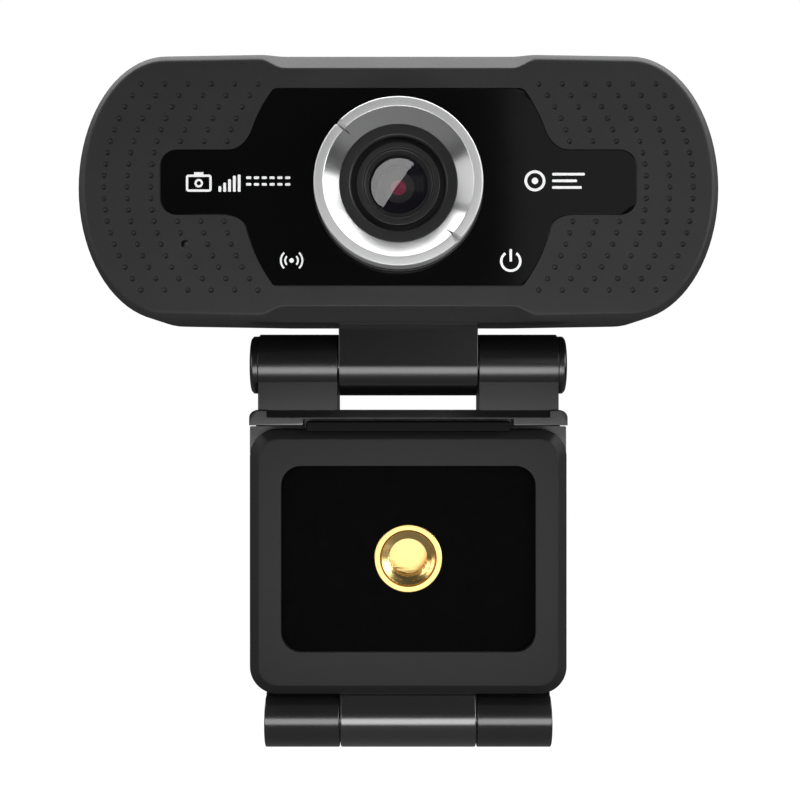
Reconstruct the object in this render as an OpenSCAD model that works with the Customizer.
// Folding webcam: a camera head on a three-leaf clip with a tripod socket.
// Origin: mouth of the tripod socket. X runs to the right, -Y is the front, Z is up.

/* [Head] */
// Overall width of the camera head
head_w = 82.6; // [80:0.1:86]
// Overall height of the camera head
head_h = 34.6; // [33:0.1:36]
// Depth of the head from its front face to its back
head_d = 20; // [19.5:0.1:22]
// Horizontal half-axis of the elliptical ends
end_a = 11.4; // [10.5:0.1:13]
// Wall thickness of both shells
wall = 1.6; // [1.4:0.1:1.8]
// Depth of the front bezel, where the two shells part
bezel_d = 4.4; // [4.2:0.1:4.7]
// Width of the chamfer round the ends of the face
face_bevel = 0.9; // [0.6:0.1:1.2]
// Width of the deeper chamfer along the middle of the face
mid_bevel = 2.1; // [1.6:0.1:2.3]

/* [Placement] */
// Height of the lens axis above the tripod socket
head_z = 48.4; // [48.2:0.1:52]
// Sideways offset of the head from the middle of the clip
head_x = -1.3; // [-2:0.1:0]
// Front face of the head, measured from the socket mouth
face_y = -6.8; // [-7.4:0.1:-6.4]

/* [Lens] */
// Outer radius of the focus ring
ring_r = 10.6; // [10.2:0.1:10.8]
// How far the ring's lip stands in front of the face
ring_proud = 5; // [4.6:0.1:6]
// Radius of the M12 lens barrel
barrel_r = 5.95; // [5.9:0.01:5.97]
// Radius of the glass in the barrel
glass_r = 3.65; // [3.2:0.05:3.9]

/* [Clip] */
// Half the width of the clip
clip_hw = 21; // [20.5:0.05:21.2]
// Radius of the tilt knuckles
tilt_r = 4.1; // [3.8:0.1:4.3]
// Thickness of the saddle plate
saddle_t = 2; // [1.8:0.1:2.2]
// Thickness of the leg plate
leg_t = 2.5; // [2:0.1:2.8]
// Width of the foot
foot_w = 42.3; // [41:0.1:42.6]
// Height of the foot
foot_h = 35.3; // [34.9:0.1:35.3]
// Thickness of the foot
foot_t = 6.3; // [6:0.1:6.3]
// Chamfer round the front of the foot
foot_bevel = 1.27; // [0.8:0.01:1.6]

/* [Tripod socket] */
// Minor radius of the 1/4-20 thread
socket_r = 2.55; // [2.5:0.01:2.6]
// Depth of the thread
socket_l = 4.9; // [4.6:0.1:4.9]
// Radius of the brass flange
flange_r = 4.55; // [4.3:0.05:5]

/* [Hidden] */
$fn = 48;

eps = 0.02;
crown = 0.25;
crown_hw = 15;
end_steps = 20;

// Head inside
boss_x = 34;
boss_z = 8.5;
boss_r = 2.2;
screw_sunk = 5;
board_d = 13.2;
board_t = 1.2;
board_w = 60;
board_h = 24;
board_hole_x = 26;
board_hole_z = 9;
mount_screw_x = 8;
header_x = 16;
icon_x = 14;
icon_z = -9.4;
guide_r = 0.9;
mic_x = -27.4;
mic_z = -7.3;
mic_hole_r = 0.52;
mic_r = 2;
grommet_x = 12;
grommet_z = -9;
grommet_r = 3.2;
cord_r = 1.9;
lip_h = 0.8;
lip_t = 0.85;
lip_gap = 0.05;

// Gloss panel in the face
panel_t = 0.8;
tongue_w = 61;
tongue_h = 8.3;
tongue_z = 0.63;
tongue_r = 2.15;
panel_top_w = 31.3;
panel_mid_w = 40.4;
panel_h = 25.3;

// Lens stack, as depths behind the face (minus is in front of it)
seat_front = -0.2;
ring_back = -0.5;
collar_front = -3.2;
collar_back = 2.5;
collar_r = 7.45;
lip_r = 9.43;
barrel_front = -3;
barrel_step = -1.4;
barrel_back = 9.8;
neck_r = 5.25;
retainer_r = 4.45;
mount_bore_r = 6;
mount_r = 7.2;
lens_d = [-2.2, 0.1, 2, 2.3, 4.5, 6.4, 8.8];

// Tilt hinge
tilt_y = 2.2;
tilt_z = 25.8;
block_hw = 9.2;
ear_in = 9.35;
ear_out = 19.9;
pin_r = 1.5;
bush_r = 2.6;
fit = 0.03;
cap_r = 3.85;
ear_step = 0.75;

// Saddle plate and its rear hinge
saddle_top = 19.75;
saddle_bottom = saddle_top - saddle_t;
saddle_front = tilt_y - tilt_r;
saddle_rear = 6.4;
rear_y = 9.2;
rear_r = 2.5;
rear_z = saddle_top - rear_r;
rear_pin_r = 1;
rear_knuckle_in = 6.1;
rear_knuckle_out = 13.1;
knuckle_gap = 0.1;
notch_hw = 13.9;
notch_y = 2.4;
notch_top = 18.65;
pad_recess = 0.5;

// Leg and lower hinge
leg_hw = 21.75;
leg_front = 5.8;
leg_top = rear_z - rear_r - 0.35;
leg_bottom = -18.8;
leg_nip = 2.4;
lip_top = 17.5;
lip_depth = 0.7;
low_y = 3;
low_z = -22.2;
low_r = 3.5;
low_pin_r = 1.25;
low_hw = 19.2;
low_mid_hw = 9.05;
low_gap = 0.15;

// Foot
foot_front = -0.8;
foot_rear = foot_front + foot_t;
foot_z = -0.45;
foot_top = foot_z + foot_h / 2;
foot_bottom = foot_z - foot_h / 2;
foot_r = 3.6;
recess_w = 33.7;
recess_h = 24.6;
recess_r = 2.6;
recess_floor = 0.8;
pad_front = 0.2;
insert_r = 4;
insert_l = 5.1;
socket_chamfer = 0.75;
catch_hw = 13.5;
catch_top = 18.3;
catch_front = -1.7;
catch_rear = 2;
catch_drop = 0.3;

// ---- Shared shapes ----

function half_ellipse(cx, a, b, start) =
    [for (i = [0:end_steps]) let (t = start + 180 * i / end_steps) [cx + a * cos(t), b * sin(t)]];

// Outline of the head, shrunk by an inset all round
function head_outline(inset) = concat(
    half_ellipse(head_w / 2 - end_a, end_a - inset, head_h / 2 - crown - inset, -90),
    [[crown_hw, head_h / 2 - inset], [-crown_hw, head_h / 2 - inset]],
    half_ellipse(end_a - head_w / 2, end_a - inset, head_h / 2 - crown - inset, 90),
    [[-crown_hw, inset - head_h / 2], [crown_hw, inset - head_h / 2]]);

// Height of a spherical cap at radius x, for a cap of radius r and rise h
function cap_height(x, r, h) = let (big = (r * r + h * h) / (2 * h)) sqrt(big * big - x * x) - (big - h);

module box(low, high) translate(low) cube(high - low);

// A frame on the lens axis at a depth behind the face, its z pointing to the front
module at_depth(d) translate([head_x, face_y + d, head_z]) rotate([90, 0, 0]) children();

module slab(d0, d1) at_depth(d1) linear_extrude(d1 - d0) children();

module rod(d0, d1, r, x = 0, z = 0) at_depth(d1) translate([x, z, 0]) cylinder(h = d1 - d0, r = r);

module ring(d0, d1, r_out, r_in, x = 0, z = 0) difference() {
    rod(d0, d1, r_out, x, z);
    rod(d0 - 1, d1 + 1, r_in, x, z);
}

// A cylinder along X
module axle(x0, x1, y, z, r) translate([x0, y, z]) rotate([0, 90, 0]) cylinder(h = x1 - x0, r = r);

// A solid of constant section along X, its outline given in Y and Z
module along_x(x0, x1) translate([x0, 0, 0]) rotate([90, 0, 90]) linear_extrude(x1 - x0) children();

// An upright plate of the clip between two distances behind the socket mouth
module upright(y0, y1) translate([0, y1, 0]) rotate([90, 0, 0]) linear_extrude(y1 - y0) children();

module rounded(w, h, r) {
    square([w - 2 * r, h], center = true);
    square([w, h - 2 * r], center = true);
    for (x = [-1, 1], y = [-1, 1]) translate([x * (w / 2 - r), y * (h / 2 - r)]) circle(r);
}

module lens_shape(d0, d1, r, rise_front, rise_back) {
    steps = 8;
    t = d1 - d0;
    front = [for (i = [0:steps]) let (x = r * i / steps) [x, t - rise_front + cap_height(x, r, rise_front)]];
    back = [for (i = [steps:-1:0]) let (x = r * i / steps) [x, rise_back - cap_height(x, r, rise_back)]];
    at_depth(d1) rotate_extrude() polygon(concat(front, back));
}

// ---- Head ----

module panel_outline() {
    translate([0, tongue_z]) rounded(tongue_w, tongue_h, tongue_r);
    polygon([[-panel_top_w / 2, panel_h / 2], [-panel_mid_w / 2, tongue_z], [-panel_top_w / 2, -panel_h / 2],
        [panel_top_w / 2, -panel_h / 2], [panel_mid_w / 2, tongue_z], [panel_top_w / 2, panel_h / 2]]);
}

module bezel_outside() difference() {
    hull() {
        slab(face_bevel, bezel_d) polygon(head_outline(0));
        slab(0, eps) polygon(head_outline(face_bevel));
    }
    for (s = [0, 1]) mirror([0, 0, s]) translate([0, 0, s ? -2 * head_z : 0])
        translate([0, face_y, head_z + head_h / 2]) along_x(head_x - 16.4, head_x + 16.4)
            polygon([[-1, -mid_bevel - 1], [-1, 1], [mid_bevel + 1, 1]]);
}

module front_bezel() color("#3b3b3d") difference() {
    union() {
        difference() {
            bezel_outside();
            slab(wall, bezel_d + 1) polygon(head_outline(wall));
        }
        for (x = [-1, 1], z = [-1, 1]) rod(wall - eps, bezel_d, boss_r, x * boss_x, z * boss_z);
    }
    slab(-1, panel_t) panel_outline();
    rod(-1, bezel_d, 8);
    for (x = [-1, 1]) rod(0, wall + 1, guide_r, x * icon_x, icon_z);
    rod(-1, wall + 1, mic_hole_r, mic_x, mic_z);
    for (x = [-1, 1], z = [-1, 1]) rod(wall, bezel_d + 1, 0.8, x * boss_x, z * boss_z);
}

module face_panel() color("#08080a") difference() {
    slab(0, panel_t) panel_outline();
    rod(-1, panel_t + 1, ring_r + 0.3);
}

module shell_form(inset) hull() {
    slab(bezel_d + inset, head_d - 5) polygon(head_outline(inset));
    slab(head_d - 2.2, head_d - 1.7) polygon(head_outline(inset + 1));
    slab(head_d - 0.7 - inset, head_d - inset) polygon(head_outline(inset + 3));
}

module rear_shell() color("#353537") difference() {
    union() {
        difference() {
            shell_form(0);
            hull() {
                slab(bezel_d - 1, head_d - 5) polygon(head_outline(wall));
                slab(head_d - wall - 1, head_d - wall) polygon(head_outline(wall + 2.4));
            }
        }
        slab(bezel_d - lip_h, bezel_d + lip_h) difference() {
            polygon(head_outline(wall + lip_gap));
            polygon(head_outline(wall + lip_t));
        }
        slab(bezel_d, bezel_d + lip_h) difference() {
            polygon(head_outline(wall / 2));
            polygon(head_outline(wall + lip_t));
        }
        for (x = [-1, 1], z = [-1, 1]) rod(bezel_d, head_d - wall + eps, boss_r, x * boss_x, z * boss_z);
        for (x = [-1, 1], z = [-1, 1])
            rod(board_d + board_t, head_d - wall + eps, 1.8, x * board_hole_x, z * board_hole_z);
        rod(head_d - 3.4, head_d - wall + eps, grommet_r + 1.2, grommet_x, grommet_z);
    }
    for (x = [-1, 1], z = [-1, 1]) rod(bezel_d - 1, head_d + 1, 1.1, x * boss_x, z * boss_z);
    for (x = [-1, 1], z = [-1, 1]) rod(head_d - screw_sunk, head_d + 1, 2, x * boss_x, z * boss_z);
    for (x = [-1, 1], z = [-1, 1]) rod(board_d, board_d + 4, 0.7, x * board_hole_x, z * board_hole_z);
    for (x = [-1, 1], z = [-1, 1]) rod(bezel_d - 1, bezel_d, boss_r + 0.2, x * boss_x, z * boss_z);
    rod(head_d - 4, head_d + 1, grommet_r, grommet_x, grommet_z);
    for (x = [-5, 5]) translate([x, tilt_y, head_z - head_h / 2 - 1]) cylinder(h = wall + 2, r = 0.8);
}

module shell_screws() color("silver")
    for (x = [-1, 1], z = [-1, 1]) {
        rod(head_d - screw_sunk, head_d - screw_sunk + 1.3, 1.9, x * boss_x, z * boss_z);
        rod(bezel_d - 2.4, head_d - screw_sunk + eps, 0.8, x * boss_x, z * boss_z);
    }

module ring_seat() color("#101012") ring(seat_front, panel_t, ring_r + 0.25, collar_r + 0.45);

module lens_mount() color("#1c1c1e") difference() {
    union() {
        rod(3, board_d, mount_r);
        slab(board_d - 1.5, board_d) square([20, 13], center = true);
    }
    rod(2, 10.2, mount_bore_r);
    rod(10, board_d, 2.8);
    slab(11, board_d + 1) square([7.2, 7.2], center = true);
    for (x = [-1, 1]) rod(12, board_d + 1, 0.8, x * mount_screw_x);
}

module mount_screws() color("silver")
    for (x = [-1, 1]) {
        rod(board_d + board_t, board_d + board_t + 0.8, 1.4, x * mount_screw_x);
        rod(12, board_d + board_t + eps, 0.8, x * mount_screw_x);
    }

module ir_filter() color("#8fb8c8") slab(11, 11.3) square([6.8, 6.8], center = true);

module image_sensor() color("#303848") {
    slab(board_d - 0.8, board_d) square([6.6, 5.8], center = true);
    slab(board_d - 1, board_d - 0.7) square([4.8, 3.6], center = true);
}

module main_board() color("#1d5a35") difference() {
    slab(board_d, board_d + board_t) square([board_w, board_h], center = true);
    for (x = [-1, 1], z = [-1, 1]) rod(board_d - 1, board_d + 3, 0.8, x * board_hole_x, z * board_hole_z);
    for (x = [-1, 1]) rod(board_d - 1, board_d + 3, 0.8, x * mount_screw_x);
}

module board_screws() color("silver")
    for (x = [-1, 1], z = [-1, 1]) {
        rod(board_d - 0.9, board_d, 1.5, x * board_hole_x, z * board_hole_z);
        rod(board_d - eps, board_d + 3.5, 0.7, x * board_hole_x, z * board_hole_z);
    }

module image_processor() color("#151515")
    slab(board_d + board_t, board_d + board_t + 0.9) translate([-14, 0]) square([9, 9], center = true);

module cable_header() color("ivory") slab(board_d + board_t, board_d + board_t + 3) difference() {
    translate([header_x, 0]) square([9, 4.5], center = true);
    translate([header_x, 0]) square([7.4, 2.9], center = true);
}

module mic_capsule() color("#9c9ca0") rod(wall + 0.5, wall + 1.9, mic_r, mic_x, mic_z);

module mic_gasket() color("#121212") difference() {
    rod(wall, wall + 2.2, mic_r + 0.7, mic_x, mic_z);
    rod(wall + 0.5, wall + 3, mic_r, mic_x, mic_z);
    rod(wall - 1, wall + 1, mic_hole_r, mic_x, mic_z);
}

module status_leds() color("#e8f0e0")
    for (x = [-1, 1]) slab(board_d - 0.7, board_d) translate([x * icon_x, icon_z]) square([1.6, 1.2], center = true);

module light_guides() color("#f2f2f2")
    for (x = [-1, 1]) rod(panel_t, board_d - 1, guide_r, x * icon_x, icon_z);

module cable_grommet() color("#141414") difference() {
    union() {
        rod(head_d - 3.4, head_d, grommet_r, grommet_x, grommet_z);
        rod(head_d, head_d + 1, grommet_r + 0.8, grommet_x, grommet_z);
        rod(head_d - 4.4, head_d - 3.4, grommet_r + 0.8, grommet_x, grommet_z);
    }
    rod(head_d - 5, head_d + 2, cord_r, grommet_x, grommet_z);
}

// ---- Tilt hinge ----

module tilt_block() color("#222224") difference() {
    union() {
        axle(-block_hw, block_hw, tilt_y, tilt_z, tilt_r);
        box([-block_hw, saddle_front, tilt_z], [block_hw, tilt_y + tilt_r, head_z - head_h / 2]);
    }
    axle(-block_hw - 1, block_hw + 1, tilt_y, tilt_z, bush_r);
    for (x = [-5, 5]) translate([x, tilt_y, tilt_z + bush_r + 0.4]) cylinder(h = 6, r = 0.8);
}

module block_screws() color("silver")
    for (x = [-5, 5]) translate([x, tilt_y, 0]) {
        translate([0, 0, tilt_z + bush_r + 0.5]) cylinder(h = head_z - head_h / 2 - tilt_z - bush_r + wall, r = 0.8);
        translate([0, 0, head_z - head_h / 2 + wall]) cylinder(h = 1.1, r = 1.5);
    }

module tilt_bush() color("#d8d4c8") difference() {
    axle(-block_hw, block_hw, tilt_y, tilt_z, bush_r);
    axle(-block_hw - 1, block_hw + 1, tilt_y, tilt_z, pin_r + fit);
}

module tilt_pin() color("silver") axle(-ear_out, ear_out, tilt_y, tilt_z, pin_r);

module tilt_cap(side) color("#3a3a3c") mirror([side < 0 ? 1 : 0, 0, 0]) {
    axle(ear_out, ear_out + 0.75, tilt_y, tilt_z, cap_r);
    translate([ear_out + 0.75, tilt_y, tilt_z]) rotate([0, 90, 0]) cylinder(h = 0.4, r1 = cap_r, r2 = cap_r - 0.4);
}

module tilt_cap_left() tilt_cap(-1);
module tilt_cap_right() tilt_cap(1);

// ---- Focus ring and lens ----

module focus_ring() color("#d6d6d8") difference() {
    union() {
        rod(-ring_proud + 0.25, ring_back, ring_r);
        at_depth(-ring_proud + 0.25) cylinder(h = 0.25, r1 = ring_r, r2 = ring_r - 0.25);
    }
    rod(collar_front, 1, collar_r);
    at_depth(collar_front) cylinder(h = ring_proud + collar_front, r1 = collar_r, r2 = lip_r);
    at_depth(-ring_proud + eps) cylinder(h = 1, r = lip_r);
    for (a = [135, 315]) at_depth(-3.7) rotate([0, 0, a]) translate([8, -1.1, 0]) cube([4, 2.2, 3]);
}

module lens_collar() color("#0d0d0f") difference() {
    rod(collar_front, collar_back, collar_r);
    rod(collar_front - 1, collar_back + 1, barrel_r);
}

module lens_barrel() color("#161618") difference() {
    union() {
        rod(barrel_step, barrel_back, barrel_r);
        rod(barrel_front, 0, neck_r);
    }
    rod(barrel_front - 1, lens_d[0], retainer_r);
    rod(barrel_front, lens_d[6], glass_r);
    rod(0, barrel_back + 1, 2.6);
}

module front_retainer() color("#0b0b0c") ring(barrel_front + 0.15, lens_d[0], retainer_r, glass_r - 0.15);

module front_lens() color("#30404c") lens_shape(lens_d[0], lens_d[1], glass_r, 0.55, 0.25);
module front_spacer() color("#0c0c0c") ring(lens_d[1], lens_d[2], glass_r, 2.9);
module aperture_stop() color("#0c0c0c") ring(lens_d[2], lens_d[3], glass_r, 1);
module middle_lens() color("#40505c") lens_shape(lens_d[3], lens_d[4], glass_r, 0.2, 0.5);
module rear_spacer() color("#0c0c0c") ring(lens_d[4], lens_d[5], glass_r, 2.9);
module rear_lens() color("#40505c") lens_shape(lens_d[5], lens_d[6], glass_r, 0.4, 0.3);

// ---- Saddle ----

module saddle() color("#2b2b2d") difference() {
    union() {
        box([-clip_hw, saddle_front, saddle_bottom], [clip_hw, saddle_rear, saddle_top]);
        for (x = [-ear_out, ear_in]) {
            axle(x, x + ear_out - ear_in, tilt_y, tilt_z, tilt_r);
            box([x, saddle_front + ear_step, saddle_top - eps], [x + ear_out - ear_in, tilt_y + tilt_r, tilt_z]);
        }
        for (span = [[-clip_hw, -rear_knuckle_out - knuckle_gap], [knuckle_gap - rear_knuckle_in,
            rear_knuckle_in - knuckle_gap], [rear_knuckle_out + knuckle_gap, clip_hw]]) {
            axle(span[0], span[1], rear_y, rear_z, rear_r);
            box([span[0], saddle_rear - eps, saddle_bottom], [span[1], rear_y, saddle_top]);
        }
    }
    axle(-ear_out - 2, ear_out + 2, tilt_y, tilt_z, pin_r);
    axle(-clip_hw - 1, clip_hw + 1, rear_y, rear_z, rear_pin_r + fit);
    box([-notch_hw, saddle_front - 1, saddle_bottom - 1], [notch_hw, notch_y, notch_top]);
    box([-18, notch_y + 0.5, saddle_bottom - 1], [18, saddle_rear - 0.6, saddle_bottom + pad_recess]);
}

module saddle_pad() color("#0e0e0e")
    box([-18, notch_y + 0.5, saddle_bottom], [18, saddle_rear - 0.6, saddle_bottom + pad_recess]);

// ---- Leg ----

module leg_plate() color("#18181a") difference() {
    union() {
        upright(leg_front, leg_front + leg_t) polygon([[-low_hw, leg_bottom], [low_hw, leg_bottom],
            [low_hw, leg_bottom + leg_nip], [leg_hw, leg_bottom + 2.5 * leg_nip], [leg_hw, leg_top],
            [-leg_hw, leg_top], [-leg_hw, leg_bottom + 2.5 * leg_nip], [-low_hw, leg_bottom + leg_nip]]);
        box([-leg_hw, leg_front, leg_top - eps], [leg_hw, leg_front + lip_depth, lip_top]);
        for (x = [-rear_knuckle_out, rear_knuckle_in]) {
            axle(x, x + rear_knuckle_out - rear_knuckle_in, rear_y, rear_z, rear_r);
            box([x, leg_front, leg_top - 3], [x + rear_knuckle_out - rear_knuckle_in, rear_y + rear_r, rear_z]);
        }
        for (x = [-low_hw, low_mid_hw + low_gap]) {
            axle(x, x + low_hw - low_mid_hw - low_gap, low_y, low_z, low_r);
            box([x, low_y, low_z - 2], [x + low_hw - low_mid_hw - low_gap, leg_front + leg_t, low_z + 3.6]);
        }
    }
    axle(-clip_hw - 1, clip_hw + 1, rear_y, rear_z, rear_pin_r);
    axle(-leg_hw - 1, leg_hw + 1, low_y, low_z, low_pin_r + fit);
}

module leg_pin() color("silver") axle(-clip_hw + 0.4, clip_hw - 0.4, rear_y, rear_z, rear_pin_r);

// ---- Foot ----

module foot_frame() color("#3b3b3d") difference() {
    union() {
        translate([0, 0, foot_z]) hull() {
            upright(foot_front + foot_bevel, foot_rear) rounded(foot_w, foot_h, foot_r);
            upright(foot_front, foot_front + eps)
                rounded(foot_w - 2 * foot_bevel, foot_h - 2 * foot_bevel, foot_r - 1);
        }
        axle(-low_mid_hw, low_mid_hw, low_y, low_z, low_r);
        hull() {
            box([-low_mid_hw, low_y - low_r + 0.2, low_z], [low_mid_hw, low_y + 2, low_z + 1]);
            box([-low_mid_hw, low_y - low_r + 1, foot_bottom], [low_mid_hw, low_y + 2, foot_bottom + 0.5]);
        }
    }
    upright(foot_front - 1, recess_floor) rounded(recess_w, recess_h, recess_r);
    upright(0, insert_l) circle(insert_r);
    axle(-low_mid_hw - 1, low_mid_hw + 1, low_y, low_z, low_pin_r);
}

module foot_pad() color("#0a0a0a") difference() {
    upright(pad_front, recess_floor) rounded(recess_w, recess_h, recess_r);
    upright(pad_front - 1, recess_floor + 1) circle(flange_r);
}

module tripod_insert() color("#c9a24b") difference() {
    union() {
        upright(0, recess_floor) circle(flange_r);
        upright(recess_floor - eps, insert_l) circle(insert_r);
    }
    upright(-1, socket_l) circle(socket_r);
    translate([0, 0.45, 0]) rotate([90, 0, 0]) cylinder(h = 0.5, r1 = socket_r, r2 = socket_r + socket_chamfer);
}

module foot_catch() color("#2e2e30") along_x(-catch_hw, catch_hw)
    polygon([[catch_front, foot_top - catch_drop], [foot_front + foot_bevel - catch_drop, foot_top - catch_drop],
        [foot_front + foot_bevel, foot_top], [catch_rear, foot_top], [catch_rear, catch_top],
        [catch_front, catch_top]]);

module foot_pin() color("silver") axle(-low_hw + 0.2, low_hw - 0.2, low_y, low_z, low_pin_r);

front_bezel();
face_panel();
rear_shell();
shell_screws();
ring_seat();
lens_mount();
mount_screws();
ir_filter();
image_sensor();
main_board();
board_screws();
image_processor();
cable_header();
mic_capsule();
mic_gasket();
status_leds();
light_guides();
cable_grommet();
tilt_block();
block_screws();
tilt_bush();
focus_ring();
lens_collar();
lens_barrel();
front_retainer();
front_lens();
front_spacer();
aperture_stop();
middle_lens();
rear_spacer();
rear_lens();
saddle();
tilt_pin();
tilt_cap_left();
tilt_cap_right();
saddle_pad();
leg_plate();
leg_pin();
foot_frame();
foot_pad();
tripod_insert();
foot_catch();
foot_pin();
